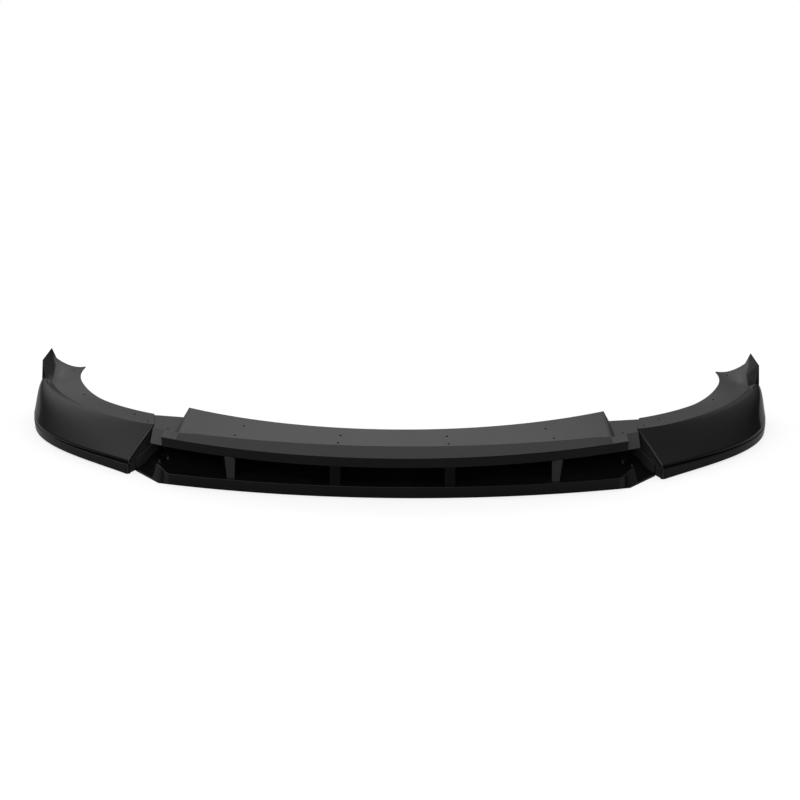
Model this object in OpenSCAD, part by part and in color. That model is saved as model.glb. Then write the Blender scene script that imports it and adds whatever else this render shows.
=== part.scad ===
// Front splitter lip for a car bumper, moulded in three pieces:
// a centre section with a five-bay slot and a corner section at each side.
// X runs across the car, the front faces -Y and Z is up. The lower edges stand on Z = 0.

/* [Overall] */
// Width across both corner sections
overall_w = 1810; // [1700:5:1900]
// Depth from the foremost edge of the blade to the winglet tips
overall_d = 550; // [500:5:620]
// Wall of all three mouldings
wall_t = 3; // [2:0.25:4]

/* [Centre section heights] */
// Height of the flange along its back edge
flange_back_z = 104; // [98:1:112]
// Height of the bend between flange and deck
deck_back_z = 92; // [88:1:96]
// Height of the lip's upper edge
lip_top_z = 88; // [84:1:92]
// Height of the lip's lower edge, which is the top of the slot
slot_top_z = 65; // [58:1:72]
// Height of the blade's upper edge, which is the bottom of the slot
blade_h = 28; // [22:1:34]

/* [Centre section plan] */
// How far the lip stands behind the blade at the middle
lip_setback = 14; // [8:1:24]
// Deck, front to back at the middle
deck_d = 55; // [45:1:65]
// Flange, front to back at the middle
flange_d = 65; // [55:1:75]
// Radius of the flange's back edge in plan
flange_r = 1000; // [900:10:1200]
// Radius of the bend between flange and deck in plan
deck_r = 1650; // [1500:10:1900]
// Radius of the lip in plan
lip_r = 1300; // [1150:10:1600]
// Radius of the blade in plan
blade_r = 2150; // [1900:10:2600]
// How far the blade's face leans back towards its lower edge
blade_lean = 5; // [3:1:10]
// Half length of the lip
lip_half = 510; // [500:1:514]
// Draft of the lip's end face
lip_end_draft = 1.5; // [1:0.25:3]
// Half length of the raised flange
flange_half = 475; // [460:1:482]
// Where the flange is creased, beyond which its front slopes down to the tab
crease_x = 436; // [425:1:445]
// Length over which the raised flange steps down to the tab
flange_step = 10; // [6:1:11]
// How far the raised flange stands back from the tab's back edge
flange_jog = 20; // [14:1:30]
// How far the tab's front edge stands behind the lip
tab_front_d = 40; // [25:1:45]
// How far the foot of the tab's sloping front stands behind the lip
tab_foot_d = 5; // [3:1:10]

/* [Slot and fins] */
// Depth of the slot along its roof
slot_depth_top = 84; // [70:1:96]
// Depth of the slot along its floor
slot_depth_low = 50; // [40:1:60]
// Depth of the tray under the blade
tray_d = 130; // [100:1:150]
// Distance of the inner fins from the middle
fin_inner_x = 121; // [110:1:130]
// Distance of the outer fins from the middle
fin_outer_x = 351; // [340:1:365]
// Width of an inner fin at its front
inner_fin_w = 21; // [14:1:26]
// Width of an outer fin at the top of its front
outer_fin_w = 24; // [14:1:28]
// Width of an outer fin at its foot
outer_fin_foot_w = 17; // [12:1:24]
// How far an outer fin's foot leans towards the middle
outer_fin_lean = 5; // [0:1:8]
// Width that a fin gains on each side at its back
fin_flare = 10; // [2:1:14]
// How far the lip's face leans back towards its lower edge
lip_lean = 1; // [0:0.5:3]
// How far a fin's front stands behind the lip's face
fin_setback = 1; // [0.5:0.25:2]
// How far a fin's foot stands behind the blade's edge
fin_foot_d = 8; // [4:1:14]

/* [Blade ends] */
// Where the blade's upper edge turns back
top_turn_x = 486; // [478:1:494]
// How steeply that edge runs back
top_slope = 1.5; // [1.2:0.05:1.8]
// Where that edge starts to fall
top_fall_x = 528; // [522:1:534]
// Where its fall ends
top_end_x = 560; // [556:1:566]
// Height of that edge there
top_end_z = 13; // [12:0.5:16]
// Where the blade's lower edge turns back
foot_turn_x = 511; // [504:1:518]
// How steeply the lower edge runs back
foot_slope = 0.95; // [0.85:0.01:1.1]
// Height of the crease between both end faces where it starts
crease_low_z = 3; // [2:0.5:5]
// Height of that crease where the blade meets the corner section
crease_high_z = 8; // [6:0.5:9]
// Front edge of the strut across the slot's end, measured along the joint
strut_front = 20.5; // [20:0.5:24]
// Height of the strut's upper edge at its front
strut_low_z = 31; // [26:1:36]
// Height of the strut's upper edge at its back
strut_high_z = 56; // [50:1:60]

/* [Corner section plan] */
// Distance of the panel's front inner corner from the middle
joint_front_x = 586; // [580:1:592]
// How far that corner lies behind the blade's front
joint_front_d = 113; // [108:1:118]
// Distance of the panel's back inner corner from the middle
joint_back_x = 541; // [536:1:546]
// How far that corner lies behind the blade's front
joint_back_d = 184; // [179:1:190]
// Flange of the corner section, front to back at its inner end
corner_flange_d = 62; // [56:1:66]
// How far the flange's back inner corner lies outside the panel's
corner_flange_lean = 14; // [10:1:18]
// Flange of the corner section, side to side at its rear end
corner_flange_w = 71; // [60:1:80]
// How far the lower lip ends ahead of the winglet tip
lower_end_d = 67; // [55:1:80]
// How far the winglet's base stands ahead of its tip
winglet_base_d = 100; // [85:1:110]
// How far the flange's rear edge stands ahead of the winglet tip
flange_end_d = 17; // [10:1:25]
// Distance of the winglet's base inside the panel's outer edge
base_in = 46; // [38:1:54]
// Distance of the fold between flange and winglet inside that edge at the rear
fold_in = 35; // [28:1:42]
// Distance of the winglet tip inside that edge
tip_in = 19; // [12:1:24]
// Distance of the winglet's shoulder inside that edge
shoulder_in = 9; // [5:1:12]
// How far the shoulder stands ahead of the winglet tip
shoulder_d = 47; // [38:1:56]

/* [Corner section heights] */
// Top of the corner section's flange
corner_flange_z = 91; // [88:1:94]
// Height of the lower lip band
band_h = 24; // [18:1:27]
// Height of the panel's lower front edge
panel_edge_z = 32; // [30:1:36]
// How far the band's foot arches up between its ends
foot_arch = 5; // [2:0.5:8]
// Step between the band and the panel's lower edge, which runs out towards the rear
band_step = 5; // [3:0.5:7]
// Height of the flange at its rear inner corner
flange_rear_z = 104; // [98:1:110]
// Height of the fold between flange and winglet at the rear
fold_z = 126; // [118:1:132]
// Height of the winglet's outer shoulder
shoulder_z = 131; // [124:1:137]
// Height of the winglet tip
tip_z = 148; // [140:1:160]

/* [Corner section form] */
// How far the panel bulges outwards at its rear end
bulge_out = 22; // [10:1:26]
// How far the panel bulges upwards at its rear end
bulge_up = 19; // [10:1:24]
// Crown of the panel
crown = 5; // [1:0.5:8]
// Sag of the flange between its edges at the rear
flange_sag = 9; // [2:1:12]

/* [Fixings] */
// Diameter of the screw holes
hole_d = 5; // [4:0.5:6.5]
// Distance of the inner pairs of holes from the middle, measured on the deck's bend
pair_inner_x = 120; // [105:1:135]
// Distance of the outer pairs of holes from the middle, measured on the deck's bend
pair_outer_x = 351; // [340:1:370]
// Place of a pair's front hole across the flange, as a share
pair_front = 0.12; // [0.1:0.01:0.25]
// Place of a pair's back hole across the flange, as a share
pair_back = 0.55; // [0.45:0.01:0.8]
// Distance of the hole in each tab from the middle
tab_hole_x = 505; // [498:1:510]
// Place of that hole across the tab, as a share
tab_hole_place = 0.18; // [0.15:0.01:0.4]
// Gap between the centre section and the corner sections
joint_gap = 0.5; // [0.3:0.1:1.5]
// How far the corner section's end wall lies inside its end
end_wall_inset = 1; // [0.5:0.25:3]
// How far the tab stays inside the edges of the corner flange
tab_inset = 9; // [7:0.5:12]
// How far along the corner flange the tab reaches, as a share
tab_reach = 0.25; // [0.22:0.01:0.3]

/* [Detail] */
// Sections along half of the centre section
centre_steps = 22; // [12:1:30]
// Sections along a corner section
corner_steps = 30; // [16:1:40]

/* [Hidden] */

front_y = -overall_d / 2;
rear_y = overall_d / 2;
tab_z = corner_flange_z - wall_t;
half_wall = wall_t / 2;
step_end = flange_half + flange_step;
tab_turn_x = joint_back_x + corner_flange_lean;
tab_end_x = 640;
gloss = "#1b1d1e";

// Plan curves of the corner section: how far each end's handle lies from its end
edge_pull = [114, 70, 0];
edge_reach = 215;
top_pull = [99, 24, 0];
top_reach = [67, 132, 0];
back_pull = [85, 35, 0];
back_reach = [-10, 150, 0];
// Share of the back curve that lies ahead of the winglet's base
tail_share = 0.85;
// How fast the tab's back edge runs back under the corner section's flange
tab_spread = 0.4;
// Place of the tab's middle row of points, as a share from its front
tab_row_place = 0.3;
// Least distance between the last even section and the flange's end
last_gap = 6;
// Reach of the cut that clears the corner section's place, and how far its layers overlap
cut_reach = 400;
cut_overlap = 0.5;
// Points along each side of the tab's outline
tab_outline_steps = 6;
// Fall of the small step above the band
step_fall = 2;

// Small functions for curves and walls
function unit(v) = norm(v) > 0 ? v / norm(v) : [0, 0, 1];
function mix(a, b, t) = a + (b - a) * t;
function clamp(t) = max(0, min(1, t));
function ease(t) = let (c = clamp(t)) c * c * (3 - 2 * c);
function bow(r, x) = r - sqrt(r * r - x * x);
function bezier(p, t) = pow(1 - t, 3) * p[0] + 3 * t * pow(1 - t, 2) * p[1]
    + 3 * t * t * (1 - t) * p[2] + pow(t, 3) * p[3];

// A wall of even thickness behind a grid of points. Rows run along the part and columns run
// from its back edge over the front to its lower edge. The first and the last row's cut faces
// are square to start_dir and end_dir. The last tail_rows rows end at column tail_col, and
// flip_col is the last column whose faces are split the other way there.
module sheet(grid, start_dir, end_dir, tail_rows = 0, tail_col = 0, flip_col = -1) {
    rows = len(grid);
    cols = len(grid[0]);
    count = rows * cols;
    function last(i) = i > rows - 1 - tail_rows ? tail_col : cols - 1;
    function filled(i, j) = i >= 0 && j >= 0 && i < rows - 1 && j < last(i + 1);
    function along(i, j) = i == 0 ? start_dir : i == rows - 1 ? end_dir : grid[i + 1][j] - grid[i - 1][j];
    function face(i, j, k) = unit(cross(along(i, j), grid[i][k + 1] - grid[i][k]));
    function inward(i, j) = let (
        a = face(i, j, min(j, last(i) - 1)),
        b = face(i, j, max(j - 1, 0))
    ) (a + b) / (1 + a * b);
    function flipped(i, j) = i >= rows - 1 - tail_rows && j <= flip_col;
    skin = [for (i = [0:rows - 1]) for (j = [0:cols - 1]) grid[i][j]];
    back = [for (i = [0:rows - 1]) for (j = [0:cols - 1])
        j > last(i) ? grid[i][j] : grid[i][j] + wall_t * inward(i, j)];
    function at(i, j) = i * cols + j;
    function rim(p, q) = [[q, p, p + count], [q, p + count, q + count]];
    faces = [for (i = [0:rows - 2]) for (j = [0:last(i + 1) - 1]) let (
        a = at(i, j), b = at(i + 1, j), c = at(i + 1, j + 1), d = at(i, j + 1),
        tris = flipped(i, j) ? [[a, b, d], [b, c, d]] : [[a, b, c], [a, c, d]]
    ) each concat(
        tris,
        [for (t = tris) [t[0] + count, t[2] + count, t[1] + count]],
        filled(i, j - 1) ? [] : rim(a, b),
        filled(i, j + 1) ? [] : rim(c, d),
        filled(i - 1, j) ? [] : rim(d, a),
        filled(i + 1, j) ? [] : rim(b, c)
    )];
    polyhedron(concat(skin, back), faces, convexity = 8);
}

// Centre section: plan lines, each as the distance behind the blade's front at a given x
function beyond(x, turn) = max(0, min(abs(x), joint_front_x) - turn);
function blade_line(x) = bow(blade_r, min(abs(x), top_turn_x))
    + top_slope * beyond(min(abs(x), top_end_x), top_turn_x);
function blade_z(x) = mix(blade_h, top_end_z, clamp((abs(x) - top_fall_x) / (top_end_x - top_fall_x)));
function foot_line(x) = blade_lean + bow(blade_r, min(abs(x), foot_turn_x))
    + foot_slope * beyond(x, foot_turn_x);
function tray_line(x) = bow(blade_r, min(abs(x), top_turn_x)) + tray_d;
function lip_line(x) = lip_setback + bow(lip_r, abs(x));
function deck_line(x) = lip_setback + deck_d + bow(deck_r, abs(x));
function flange_line(x) = lip_setback + deck_d + flange_d + bow(flange_r, min(abs(x), flange_half));
function tab_line(x) = mix(flange_line(flange_half) - flange_jog, joint_back_d + corner_flange_d,
    (abs(x) - step_end) / (tab_turn_x - step_end)) + tab_spread * max(0, abs(x) - tab_turn_x);
function tab_front(x) = lip_line(x) + tab_front_d;
function flange_edge(x) = abs(x) < step_end
    ? mix(flange_line(x), tab_line(step_end), step_share(x)) : tab_line(x);

// How far the flange has stepped down to the tab, and its front edge has sloped down to it
function step_share(x) = clamp((abs(x) - flange_half) / flange_step);
function slope_share(x) = clamp((abs(x) - crease_x) / (step_end - crease_x));

// The crease between the blade's end faces, which starts on its straight face
function crease_height(x) = mix(crease_low_z, crease_high_z,
    clamp(beyond(x, top_turn_x) / (joint_front_x - top_turn_x)));
function crease_line(x) = foot_line(x)
    - (abs(x) > top_turn_x ? 0 : blade_lean * crease_height(x) / blade_h);

// Points of the centre moulding's cross-sections, from the flange's back edge to the tray's.
// The lower ones run from end to end and the upper ones change where the lip ends.
function low_points(x) = [
    [lip_line(x) + slot_depth_top, slot_top_z],
    [blade_line(x) + slot_depth_low, blade_h],
    [blade_line(x), blade_z(x)],
    [crease_line(x), crease_height(x)],
    [foot_line(x), 0],
    [tray_line(x), 0]
];
function lip_points(x) = [
    [flange_edge(x), mix(flange_back_z, tab_z, step_share(x))],
    [deck_line(x), mix(deck_back_z, tab_z, slope_share(x))],
    [lip_line(x), lip_top_z],
    [lip_line(x) + lip_lean, slot_top_z]
];
function tab_points(x) = [
    [flange_edge(x), tab_z],
    [mix(tab_front(x), flange_edge(x), tab_row_place), tab_z],
    [tab_front(x), tab_z],
    [lip_line(x) + tab_foot_d, slot_top_z]
];
function placed(x, points) = [for (p = concat(points, low_points(x))) [x, front_y + p[0], p[1]]];

module centre_moulding() {
    even = [for (i = [0:centre_steps - 1]) top_turn_x * i / centre_steps];
    lead = [for (x = even) if (x < flange_half - last_gap) x];
    lip = concat(lead, [flange_half, step_end, top_turn_x, mix(top_turn_x, lip_half, 0.5), lip_half]);
    tab = [lip_half + lip_end_draft, top_fall_x, tab_turn_x, top_end_x, joint_front_x, tab_end_x];
    sheet(concat(
        [for (i = [len(tab) - 1:-1:0]) placed(-tab[i], tab_points(tab[i]))],
        [for (i = [len(lip) - 1:-1:1]) placed(-lip[i], lip_points(lip[i]))],
        [for (x = lip) placed(x, lip_points(x))],
        [for (x = tab) placed(x, tab_points(x))]
    ), [1, 0, 0], [1, 0, 0]);
}

// A fin across the slot, from the blade's top up to the slot's roof
module fin(x, top_w, foot_w, lean) {
    low = blade_h - half_wall;
    high = slot_top_z + half_wall;
    foot_x = x - lean;
    half_back = top_w / 2 + fin_flare;
    foot_y = front_y + blade_line(x) + fin_foot_d;
    foot_back_y = front_y + blade_line(x) + slot_depth_low + half_wall;
    top_y = front_y + lip_line(x) + lip_lean + fin_setback;
    top_back_y = front_y + lip_line(x) + slot_depth_top + half_wall;
    polyhedron([
        [foot_x - foot_w / 2, foot_y, low],
        [foot_x + foot_w / 2, foot_y, low],
        [x + half_back, foot_back_y, low],
        [x - half_back, foot_back_y, low],
        [x - top_w / 2, top_y, high],
        [x + top_w / 2, top_y, high],
        [x + half_back, top_back_y, high],
        [x - half_back, top_back_y, high]
    ], [
        [0, 1, 2], [0, 2, 3], [6, 5, 4], [7, 6, 4], [4, 5, 1], [4, 1, 0],
        [5, 6, 2], [5, 2, 1], [6, 7, 3], [6, 3, 2], [7, 4, 0], [7, 0, 3]
    ]);
}

// Corner section: plan curves of the right-hand one, as points that u = 0 to 1 runs along
edge_x = overall_w / 2;
joint_front = [joint_front_x, front_y + joint_front_d, 0];
joint_back = [joint_back_x, front_y + joint_back_d, 0];
lower_end = [edge_x, rear_y - lower_end_d, 0];
base_inner = [edge_x - base_in, rear_y - winglet_base_d, 0];
fold_end = [edge_x - fold_in, rear_y - flange_end_d, 0];
flange_inner = joint_back + [corner_flange_lean, corner_flange_d, 0];
flange_outer = fold_end - [corner_flange_w, 0, 0];

edge_curve = [joint_front, joint_front + edge_pull, lower_end - [0, edge_reach, 0], lower_end];
top_curve = [joint_back, joint_back + top_pull, base_inner - top_reach, base_inner];
back_curve = [flange_inner, flange_inner + back_pull, flange_outer - back_reach, flange_outer];

function panel_edge(u) = bezier(edge_curve, u);
function panel_top(u) = bezier(top_curve, u);
function corner_back(u) = bezier(back_curve, u * tail_share);
function corner_tail(s) = bezier(back_curve, mix(tail_share, 1, s));
function outward(u) = unit(panel_edge(u) - panel_top(u));
function step_at(u) = band_step * (1 - u);
function flange_z_at(u) = mix(corner_flange_z, flange_rear_z, ease(2 * u - 1));

flange_shares = [1, 0.66, 0.33];
panel_shares = [0, 0.16, 0.34, 0.5, 0.66, 0.83];
fold_col = len(flange_shares);
shoulder_col = fold_col + 2;

function flange_point(u, f) = let (p = mix(panel_top(u), corner_back(u), f))
    [p[0], p[1], mix(corner_flange_z, flange_z_at(u), f)];
function panel_point(u, f) = let (
    p = mix(panel_top(u), panel_edge(u), f),
    bulge = pow(u, 2.5) * sin(180 * pow(f, 0.7)),
    z = mix(corner_flange_z, panel_edge_z, f)
) p + bulge * bulge_out * outward(u)
    + [0, 0, z + bulge * bulge_up + crown * 4 * f * (1 - f) * (1 - pow(1 - u, 3)) * (1 - pow(u, 3))];
function corner_section_at(u) = concat(
    [for (f = flange_shares) flange_point(u, f)],
    [for (f = panel_shares) panel_point(u, f)],
    [
        panel_edge(u) + [0, 0, panel_edge_z],
        panel_edge(u) + [0, 0, band_h + step_fall],
        panel_edge(u) + step_at(u) * outward(u) + [0, 0, band_h],
        panel_edge(u) + step_at(u) * outward(u) + [0, 0, foot_arch * sin(180 * u)]
    ]
);

// Rows behind the winglet's base: the flange carries on and the panel turns up into the winglet
function tail_section_at(s) = let (
    main = corner_section_at(1),
    fold = mix(main[fold_col], fold_end + [0, 0, fold_z], s),
    shoulder = [edge_x - shoulder_in, rear_y - shoulder_d, shoulder_z],
    tip = [edge_x - tip_in, rear_y, tip_z],
    outer = s < 1 ? shoulder : tip,
    inner = corner_tail(s) + [0, 0, flange_rear_z],
    sag = [0, 0, -flange_sag * s * 4]
) concat(
    [for (f = flange_shares) mix(fold, inner, f) + sag * f * (1 - f)],
    [fold, mix(fold, outer, 0.5), outer],
    [for (j = [shoulder_col + 1:len(main) - 1]) main[j]]
);

module corner_moulding() {
    grid = concat(
        [for (i = [0:corner_steps]) corner_section_at(i / corner_steps)],
        [tail_section_at(0.5), tail_section_at(1)]
    );
    square_to_joint = cross(joint_back - joint_front, [0, 0, 1]);
    sheet(grid, square_to_joint, [0, 1, 0], 2, shoulder_col, fold_col);
}

// A wall of the given outline across the joint, whose points are a distance along the joint and
// a height. It starts at off from the joint's plane, towards the corner section.
module joint_wall(off, outline) {
    turn = atan2(joint_back[1] - joint_front[1], joint_back[0] - joint_front[0]);
    translate(joint_front) rotate([90, 0, turn]) translate([0, 0, off])
        linear_extrude(wall_t) polygon(outline);
}

// The wall that closes the corner section, with its edges inside the moulding's wall
module corner_end_wall() {
    run = norm(joint_back - joint_front);
    joint_wall(end_wall_inset, [
        [half_wall - band_step, half_wall],
        [half_wall - band_step, band_h - half_wall],
        [half_wall, band_h],
        [half_wall, panel_edge_z - half_wall],
        [run, corner_flange_z - half_wall],
        [run, half_wall]
    ]);
}

// The strut that closes the slot and the blade at the centre section's end
module strut() {
    run = norm(joint_back - joint_front) - half_wall;
    joint_wall(-joint_gap - end_wall_inset - wall_t, [
        [strut_front, half_wall],
        [strut_front, strut_low_z],
        [run, strut_high_z],
        [run, half_wall]
    ]);
}

// What is cut from the centre section where the corner section stands. The centre section's tab
// is left, which reaches under the corner section's flange, and the slot's roof ends at the tab.
module joint_cut() {
    dir = unit(joint_back - joint_front);
    side = [dir[1], -dir[0], 0];
    near = joint_front - side * joint_gap - dir * cut_reach;
    low_back = joint_back - side * joint_gap;
    at_back = joint_back - 2 * [joint_gap, joint_gap, 0];
    shares = [for (i = [0:tab_outline_steps]) tab_reach * i / tab_outline_steps];
    tab_front_edge = [for (u = shares) panel_top(u) + [0, tab_inset, 0]];
    tab_back_edge = [for (i = [tab_outline_steps:-1:0]) corner_back(shares[i]) - [0, tab_inset, 0]];
    far_x = near[0] + cut_reach;
    far_front = [far_x, near[1], 0];
    outside = [[tab_turn_x, rear_y, 0], [far_x, rear_y, 0], far_front];
    ahead = [at_back[0], near[1], 0];
    split = tab_z - wall_t;
    module slab(low, high, points) {
        translate([0, 0, low]) linear_extrude(high - low) polygon([for (p = points) [p[0], p[1]]]);
    }
    slab(-wall_t, split - cut_overlap, [near, low_back, [low_back[0], rear_y, 0], [far_x, rear_y, 0], far_front]);
    slab(slot_top_z - half_wall, split, [ahead, at_back, [far_x, at_back[1], 0], far_front]);
    slab(split - 2 * cut_overlap, 2 * flange_back_z,
        concat([ahead, at_back], tab_front_edge, tab_back_edge, outside));
}

// Screw holes of the corner section, each as u and a share across the flange
corner_holes = [[0.05, 0.2], [0.18, 0.59], [0.69, 0.66]];
rear_hole_place = 0.7;

function across_flange(x, f) = front_y + mix(deck_line(x), flange_edge(x), f);

module drill(at, z) {
    translate([at[0], at[1], z - 3 * wall_t]) cylinder(d = hole_d, h = 6 * wall_t, $fn = 32);
}

// The holes of a pair lie on one radius of the flange's back edge
module centre_drill(x, f) {
    y = across_flange(x, f);
    swing = (y - across_flange(x, 0)) * x / flange_r;
    drill([x - swing, y], mix(deck_back_z, flange_back_z, f));
}

module corner_drills(first, last) {
    for (k = [first:last]) {
        p = flange_point(corner_holes[k][0], corner_holes[k][1]);
        drill(p, p[2]);
    }
}

module centre_section() {
    color(gloss) difference() {
        union() {
            difference() {
                centre_moulding();
                for (m = [0, 1]) mirror([m, 0, 0]) joint_cut();
            }
            for (m = [0, 1]) mirror([m, 0, 0]) {
                fin(fin_inner_x, inner_fin_w, inner_fin_w, 0);
                fin(fin_outer_x, outer_fin_w, outer_fin_foot_w, outer_fin_lean);
                strut();
            }
        }
        for (m = [0, 1]) mirror([m, 0, 0]) {
            for (x = [pair_inner_x, pair_outer_x]) for (f = [pair_front, pair_back]) centre_drill(x, f);
            drill([tab_hole_x, across_flange(tab_hole_x, tab_hole_place)], tab_z);
            corner_drills(0, 1);
        }
    }
}

module right_corner() {
    color(gloss) difference() {
        union() {
            corner_moulding();
            corner_end_wall();
        }
        corner_drills(0, 2);
        drill(tail_section_at(rear_hole_place)[1], flange_rear_z);
    }
}

module left_corner() {
    mirror([1, 0, 0]) right_corner();
}

centre_section();
left_corner();
right_corner();
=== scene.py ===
import math
from contextlib import contextmanager

import bpy
from bpy.props import FloatProperty, FloatVectorProperty, IntProperty, PointerProperty
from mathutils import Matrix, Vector


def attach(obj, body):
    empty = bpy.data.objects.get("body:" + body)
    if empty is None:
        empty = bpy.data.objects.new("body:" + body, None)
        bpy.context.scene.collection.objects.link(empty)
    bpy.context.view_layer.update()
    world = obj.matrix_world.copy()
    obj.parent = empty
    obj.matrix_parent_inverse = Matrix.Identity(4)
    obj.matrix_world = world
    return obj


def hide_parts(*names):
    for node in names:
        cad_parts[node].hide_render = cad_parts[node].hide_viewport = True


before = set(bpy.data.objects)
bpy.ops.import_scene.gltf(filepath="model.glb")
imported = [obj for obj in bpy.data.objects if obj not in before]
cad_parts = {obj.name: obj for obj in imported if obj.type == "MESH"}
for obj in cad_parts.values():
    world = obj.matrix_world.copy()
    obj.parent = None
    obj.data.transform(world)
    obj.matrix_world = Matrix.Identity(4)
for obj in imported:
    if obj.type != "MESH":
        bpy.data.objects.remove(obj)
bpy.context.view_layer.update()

bl_info = {
    "name": "Front splitter lip",
    "version": (1, 0, 0),
    "blender": (4, 5, 0),
    "location": "3D View > Sidebar > Splitter",
    "description": "Adds a three-piece front splitter lip with its finishes and a studio",
    "category": "Add Mesh",
}

# Lengths below are in metres, and shares run from 0 to 1

# Centre section: distance between the tab's sections, and sections over each short step
STATION_STEP = 0.007
STEP_ROWS = 4
# Points of a section that lines are rounded along: bend, lip's two edges, blade's edge and foot
BEND_COL, LIP_TOP_COL, LIP_FOOT_COL, BLADE_COL, FOOT_COL = 1, 2, 3, 6, 8
# Where the polished deck gives way to the satin of the tabs
DECK_END_X = 0.476
# The tab: how steeply its back edge runs beyond its turn, where its top's middle row lies, and its end
TAB_SPREAD = 0.4
TAB_FOLD = 0.3
TAB_END_X = 0.640
# Cutting the tabs free: how far the cutters reach past the part, how far they overlap, and their rows
CUT_REACH = 0.4
CUT_OVERLAP = 0.0005
CUT_ROWS = 8
# How far the strut that closes the slot's end runs on behind the joint
STRUT_TAIL = 0.010

# Plan curves of the corner section: how far each end's handle lies from its end
EDGE_PULL = Vector((0.114, 0.070, 0))
EDGE_REACH = Vector((0, 0.215, 0))
TOP_PULL = Vector((0.099, 0.024, 0))
TOP_REACH = Vector((0.067, 0.132, 0))
BACK_PULL = Vector((0.085, 0.035, 0))
BACK_REACH = Vector((-0.010, 0.150, 0))
# Share of the back curve ahead of the winglet's base, and the sections behind it
TAIL_SHARE = 0.85
TAIL_ROWS = 16
# The panel's bulge: the power by which it grows along the panel, and the one that moves its peak up
BULGE_GROWTH = 2.5
BULGE_PEAK = 0.7
# Ridge at the winglet's foot: its place across it below and above, its rise and how soon it rises
RIDGE_SHARES = (0.53, 0.97)
RIDGE_RISE = Vector((0, 0.007, 0))
RIDGE_START = 8
# Shadow gap under the panel's edge: how far its floor falls to the band, and its depth at the joint
GAP_FALL = 0.001
GAP_DEPTH = 0.0025
# Rounding of the corner section's end: its radius at the band, its share on the panel, and its sections
END_ROUND = 0.008
PANEL_END_SHARE = 0.6
END_ROWS = 6
# Rounding of the panel's lower edge
PANEL_ROUND = 0.0025
# How far the end wall runs on behind the panel's end
WALL_TAIL = 0.003
# Screw holes of the corner section: places along it and across its flange, the last one in its tail
CORNER_HOLES = [(0.05, 0.2), (0.18, 0.59), (0.69, 0.66)]
REAR_HOLE = (0.7, 0.66)

# Segments of a rounding: at the mouldings' edges, the panel's lower edge and the walls' rims
EDGE_SEGMENTS, PANEL_SEGMENTS, WALL_SEGMENTS = 3, 4, 2
# Screw cutters: their sides, and their depth in walls
DRILL_SIDES = 28
DRILL_WALLS = 6
# Edges sharper than this stay sharp
SMOOTH_ANGLE = math.radians(35)

# Noise scales of the plastic, in waves per metre: clouds, specks of dust and the finest grain
CLOUD_SCALE, SPECK_SCALE, GRAIN_SCALE = 7, 1400, 2600
# Noise values between which dust shows, in the clouds and in the specks
DUST_CLOUDS = (0.45, 0.75)
DUST_SPECKS = (0.56, 0.72)
# How much clouds and dust roughen the surface
CLOUD_ROUGHNESS = 0.06
DUST_ROUGHNESS = 0.1
# Height of the ripple and the grain where it is 1
BUMP_HEIGHT = 0.001

# What the camera looks at, and its sensor in millimetres
CAMERA_AIM = Vector((0.0064, 0.1455, 0.063))
SENSOR_WIDTH = 36
# Softboxes: place, aim and size. One is overhead, a little to the left and in front,
# and one stands behind, where the sloping flanges show it
KEY_SOFTBOX = ((-0.4, -1.0, 2.3), (0, 0, 0), (1.6, 0.4))
RIM_SOFTBOX = ((0, 2.0, 2.25), (0, -0.1, 0.1), (3.6, 0.6))
# Floor: its side, its grey, and its own light near the part, which the lamps bring up to white,
# with the distances over which that light grows to white
FLOOR_SIDE = 60
FLOOR_GREY = (0.3, 0.3, 0.3, 1)
FLOOR_GLOW = 0.74
GLOW_REACH = (1.0, 2.2)
# Surroundings that polished faces show, by direction: the height over which they turn white
DOME_RISE = (0.1, 0.8)
# How they darken to the right, and where the pale screen on the left starts and ends
RIGHT_FADE = (0.05, 0.6)
RIGHT_LEVEL = 0.5
SCREEN_START = (-1.0, -0.7)
SCREEN_END = (-0.5, -0.25)
WHITE = (1, 1, 1, 1)


def length(name, description, default, low, high):
    """A size that a user would change, in metres"""
    return FloatProperty(name=name, description=description, default=default, min=low, max=high,
                         unit="LENGTH", precision=4)


def number(name, description, default, low, high, subtype="NONE"):
    """A share, slope, angle or strength that a user would change"""
    return FloatProperty(name=name, description=description, default=default, min=low, max=high,
                         subtype=subtype)


def count(name, description, default, low, high):
    """A number of sections that a user would change"""
    return IntProperty(name=name, description=description, default=default, min=low, max=high)


def colour(name, description, default):
    """A colour that a user would change"""
    return FloatVectorProperty(name=name, description=description, default=default, min=0, max=1,
                               subtype="COLOR", size=4)


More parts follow.
